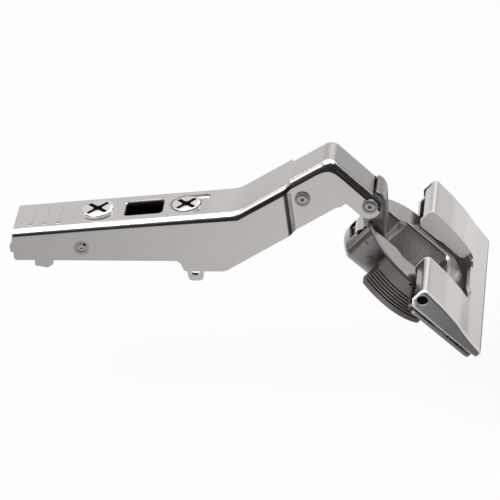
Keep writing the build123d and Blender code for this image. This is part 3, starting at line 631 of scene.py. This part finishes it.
class StudioSizes(bpy.types.PropertyGroup):
    """Place of the camera and strength of the lights."""

    azimuth: bpy.props.FloatProperty(
        name="Azimuth", description="Camera's turn about Z, from looking along +Y",
        subtype="ANGLE", default=radians(6.663))
    elevation: bpy.props.FloatProperty(
        name="Elevation", description="Camera's height angle",
        subtype="ANGLE", default=radians(30.146))
    roll: bpy.props.FloatProperty(
        name="Roll", description="Camera's turn about its own axis",
        subtype="ANGLE", default=radians(-3.011))
    distance: bpy.props.FloatProperty(
        name="Distance", description="Camera to aim point", unit="LENGTH", default=1.11745)
    lens: bpy.props.FloatProperty(
        name="Lens", description="Focal length in millimetres", default=288.19)
    aim: bpy.props.FloatVectorProperty(
        name="Aim", description="Point at the picture's centre",
        subtype="TRANSLATION", size=3, default=(0.04083, -0.00259, -0.00552))
    floor_drop: bpy.props.FloatProperty(
        name="Floor drop", description="Floor below the hinge's lowest point",
        unit="LENGTH", default=0.03)
    world: bpy.props.FloatProperty(
        name="World", description="Strength of the surrounding light", default=0.55)
    world_gloss: bpy.props.FloatProperty(
        name="World in gloss", description="Strength of the surroundings in reflections",
        default=0.70)


class HINGE_OT_sheet(bpy.types.Operator):
    """Finish the folded and drawn sheet pieces"""

    bl_idname = "hinge.sheet"
    bl_label = "Finish sheet pieces"

    def execute(self, context):
        tones = context.scene.hinge_colours
        dress(("hinge_arm",), plated_sheet("plated_arm", tones, arm_shade))
        dress(("clip_carrier",), plated_sheet("plated_carrier", tones, carrier_shade))
        dress(("boss_cup",), plated_sheet("plated_cup", tones, cup_shade))
        dress(("flip_lever",), plated_sheet(
            "plated_lever", tones, lever_shade, turn=pi / 2, grain=2.0))
        dress(LINKS, plated_sheet("plated_link", tones))
        # The outer link is painted half way into shade and made rougher.
        dress(("outer_link",), plated_sheet("dull_shaded_link", tones, dull_and_shade=0.5))
        return {"FINISHED"}


class HINGE_OT_pins(bpy.types.Operator):
    """Finish the pins, rivets and screws"""

    bl_idname = "hinge.pins"
    bl_label = "Finish pins and screws"

    def execute(self, context):
        tones = context.scene.hinge_colours
        dress(("depth_cam",), screw_head("cam_head", tones, DEPTH_CAM_X, 1.03, 3.75))
        dress(("side_screw",), screw_head("screw_head", tones, SIDE_SCREW_X, 0.23, 3.45, 0.8))
        dress(("rear_pivot_pin",), staked_pin(
            "rear_pin_end", tones, REAR_PIN, ring_shade=0.2, ring_reach=1.35, punch=(0.95, 1.0)))
        dress(("outer_link_rivet",), staked_pin("outer_rivet_end", tones, OUTER_RIVET))
        dress(("inner_link_rivet",), staked_pin("inner_rivet_end", tones, INNER_RIVET))
        dress(("clip_lever_pin",), turned_steel(
            "turned_steel", tones.steel_dark[:], tones.steel_light[:], 0.2))
        dress(CUP_PINS, turned_steel("dull_steel", tones.jaw_dark[:], tones.jaw_light[:], 0.35))
        # The lever pins are painted near black as the shade in their holes.
        dress(LEVER_PINS, turned_steel("pin_hole_shade_steel", *PIN_HOLE_SHADE, 0.6))
        return {"FINISHED"}


class HINGE_OT_springs(bpy.types.Operator):
    """Wind the closing spring and the release lever's spring"""

    bl_idname = "hinge.springs"
    bl_label = "Wind springs"

    def execute(self, context):
        tones = context.scene.hinge_colours
        steel = turned_steel("spring_steel", tones.jaw_dark[:], tones.jaw_light[:], 0.3)
        tree = wire_tree()

        pin = on_side(*BOSS) + (BOSS_AHEAD * DEEP_PIN[0] + BOSS_UP * DEEP_PIN[1]) * MM
        coil = helix(pin, BOSS_AHEAD, BOSS_UP, **CLOSING_COIL)
        corner = coil[-1] + BOSS_AHEAD * DEEP_LEG * MM
        bent = corner + (BOSS_AHEAD + Y) * LEG_BEND * MM
        near = [coil[0] + BOSS_AHEAD * BACK_LEG * MM] + coil + [corner, bent]
        far = [Vector((place.x, -place.y, place.z)) for place in reversed(near)]
        closing = wire("closing_spring_wire", near + far, tree, steel)
        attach(closing, "boss")
        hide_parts("closing_spring")

        coil = helix(on_side(*LEVER_PIN), X, Z, **LEVER_COIL)
        path = [coil[0] + X * LEVER_LEG * MM] + coil + [coil[-1] - X * CARRIER_LEG * MM]
        small = wire("clip_lever_spring_wire", path, tree, steel)
        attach(small, "carrier")
        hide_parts("clip_lever_spring")
        return {"FINISHED"}


class HINGE_OT_jaws(bpy.types.Operator):
    """Finish the spreading jaws"""

    bl_idname = "hinge.jaws"
    bl_label = "Finish jaws"

    def execute(self, context):
        tones = context.scene.hinge_colours
        dress(JAWS, cast_metal("cast_jaw", tones.jaw_dark[:], tones.jaw_light[:], 0.5))
        return {"FINISHED"}


def seen_by(finish):
    """One to the camera, and one to gloss and glass."""
    gloss = finish.add("ShaderNodeLightPath", output="Is Glossy Ray")
    through = finish.add("ShaderNodeLightPath", output="Is Transmission Ray")
    return finish.add("ShaderNodeLightPath", output="Is Camera Ray"), gloss + through


def white_floor():
    """Pale floor that camera and gloss see as white, and that keeps a soft shadow."""
    finish = new_finish("pale_floor")
    camera, mirrored = seen_by(finish)
    paint = finish.add("ShaderNodeBsdfDiffuse", values={"Color": FLOOR_PAINT})
    glow = finish.add("ShaderNodeEmission", values={"Color": WHITE, "Strength": 1.0})
    values = {0: camera * 0.92 + mirrored * 0.7, 1: paint, 2: glow}
    return finish.close(finish.add("ShaderNodeMixShader", values=values))


def white_world(strength, gloss_strength):
    """Even surroundings, white to the camera and pale to gloss."""
    finish = Finish(bpy.data.worlds.new("studio"), "ShaderNodeOutputWorld")
    camera, mirrored = seen_by(finish)
    level = strength + camera * (1.0 - strength) + mirrored * (gloss_strength - strength)
    values = {"Color": WHITE, "Strength": level}
    return finish.close(finish.add("ShaderNodeBackground", values=values))


def glowing(name, strength, right=None):
    """Even light, or light that runs from one strength to another across the arm's length."""
    finish = new_finish(name)
    light = (strength, strength, strength, 1.0)
    if right is not None:
        across = finish.ramp(finish.height(finish.place(), X), *BOARD_FADE)
        light = finish.blend(across, light, (right, right, right, 1.0))
    values = {"Color": light, "Strength": 1.0}
    return finish.close(finish.add("ShaderNodeEmission", values=values))


def upright(x0, x1, y, z0, z1):
    """Corners of a board that stands square to Y."""
    return [(x0, y, z0), (x1, y, z0), (x1, y, z1), (x0, y, z1)]


def sideways(x, y0, y1, z0, z1):
    """Corners of a board that stands square to X."""
    return [(x, y0, z0), (x, y1, z0), (x, y1, z1), (x, y0, z1)]


def flat(x0, x1, y0, y1, z):
    """Corners of a level board."""
    return [(x0, y0, z), (x1, y0, z), (x1, y1, z), (x0, y1, z)]


def board(name, corners, material):
    """A flat board of the studio."""
    mesh = bpy.data.meshes.new(name)
    mesh.from_pydata(corners, [], [(0, 1, 2, 3)])
    mesh.materials.append(material)
    return linked(name, mesh)


def card(name, corners, strength, right=None):
    """A flat card that only the hinge's gloss sees: a soft box, a grey board or a black flag."""
    thing = board(name, corners, glowing(name, strength, right))
    thing.visible_camera = False
    thing.visible_diffuse = False
    thing.visible_shadow = False
    thing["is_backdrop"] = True


def lamp(name, place, aim, size, power):
    """A square soft box that faces a point."""
    light = bpy.data.lights.new(name, "AREA")
    light.size = size
    light.energy = power
    thing = linked(name, light)
    thing.location = place
    thing.rotation_euler = (aim - place).to_track_quat("-Z", "Y").to_euler()


def camera_at(sizes):
    """A camera that looks at the aim point from the photo's side."""
    ahead = Vector((
        -sin(sizes.azimuth) * cos(sizes.elevation), cos(sizes.azimuth) * cos(sizes.elevation),
        -sin(sizes.elevation)))
    right = Vector((cos(sizes.azimuth), sin(sizes.azimuth), 0.0))
    above = right.cross(ahead)
    across = right * cos(sizes.roll) + above * sin(sizes.roll)
    upwards = above * cos(sizes.roll) - right * sin(sizes.roll)
    camera = bpy.data.cameras.new("camera")
    camera.lens = sizes.lens
    camera.sensor_width = 36.0
    camera.clip_end = 10.0
    eye = linked("camera", camera)
    turn = Matrix((across, upwards, -ahead)).transposed()
    place = Vector(sizes.aim) - ahead * sizes.distance
    eye.matrix_world = Matrix.Translation(place) @ turn.to_4x4()
    return eye


class HINGE_OT_studio(bpy.types.Operator):
    """Set the floor, the light and the camera"""

    bl_idname = "hinge.studio"
    bl_label = "Set the studio"

    def execute(self, context):
        scene = context.scene
        sizes = scene.hinge_studio
        level = CAD_BOX[0][2] - sizes.floor_drop
        corners = flat(-FLOOR_HALF, FLOOR_HALF, -FLOOR_HALF, FLOOR_HALF, level)
        floor = board("floor", corners, white_floor())
        floor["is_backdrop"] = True
        scene.world = white_world(sizes.world, sizes.world_gloss)

        card("overhead_box", flat(-0.9, 0.95, -0.42, 0.95, 1.0), 2.2)
        card("overhead_strip_left", flat(-2.4, -0.9, 0.66, 1.25, 1.0), 2.4)
        card("overhead_strip_right", flat(0.95, 2.6, 0.5, 1.1, 1.0), 2.4)
        card("back_box", upright(-0.05, 0.6, 1.3, 0.62, 0.98), 1.35)
        card("back_flag_left", upright(-2.6, -0.9, 1.3, 0.42, 0.98), 0.0)
        card("back_flag_right", upright(1.0, 2.8, 1.3, 0.28, 0.98), 0.0)
        card("front_flag", upright(-2.5, 2.5, -0.8, -0.058, 1.95), 0.015)
        card("left_flag", sideways(-1.7, -1.2, 0.8, 0.0, 1.9), 0.015)
        card("right_flag", sideways(1.9, -1.2, 0.5, 0.0, 1.9), 0.015)
        card("front_board", flat(-1.2, 0.078, -1.2, -0.03, level + 0.001), 0.5, 0.74)
        card("dark_board", flat(0.078, 0.8, -1.2, 0.12, level + 0.002), 0.22)

        aim = Vector(sizes.aim)
        lamp("key_light", aim + Vector((-0.35, -0.25, 0.75)), aim, 0.5, 4.0)
        scene.camera = camera_at(sizes)
        scene.view_settings.view_transform = "Standard"
        return {"FINISHED"}


class HINGE_PT_panel(bpy.types.Panel):
    """Lists what the hinge's finish is made of"""

    bl_idname = "HINGE_PT_panel"
    bl_label = "Hinge"
    bl_space_type = "VIEW_3D"
    bl_region_type = "UI"
    bl_category = "Hinge"

    def draw(self, context):
        for operator in STEPS:
            self.layout.operator(operator.bl_idname)


GROUPS = (HingeColours, StudioSizes)
STEPS = (HINGE_OT_sheet, HINGE_OT_pins, HINGE_OT_springs, HINGE_OT_jaws, HINGE_OT_studio)
CLASSES = GROUPS + STEPS + (HINGE_PT_panel,)


def register():
    for kind in CLASSES:
        bpy.utils.register_class(kind)
    bpy.types.Scene.hinge_colours = bpy.props.PointerProperty(type=HingeColours)
    bpy.types.Scene.hinge_studio = bpy.props.PointerProperty(type=StudioSizes)


def unregister():
    del bpy.types.Scene.hinge_studio
    del bpy.types.Scene.hinge_colours
    for kind in reversed(CLASSES):
        bpy.utils.unregister_class(kind)


def main():
    register()
    bpy.ops.hinge.sheet()
    bpy.ops.hinge.pins()
    bpy.ops.hinge.springs()
    bpy.ops.hinge.jaws()
    bpy.ops.hinge.studio()
    boxes = {"cad": CAD_BOX, "visual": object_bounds()}
    boxes = {name: [list(corner) for corner in box] for name, box in boxes.items()}


if __name__ == "__main__":
    main()
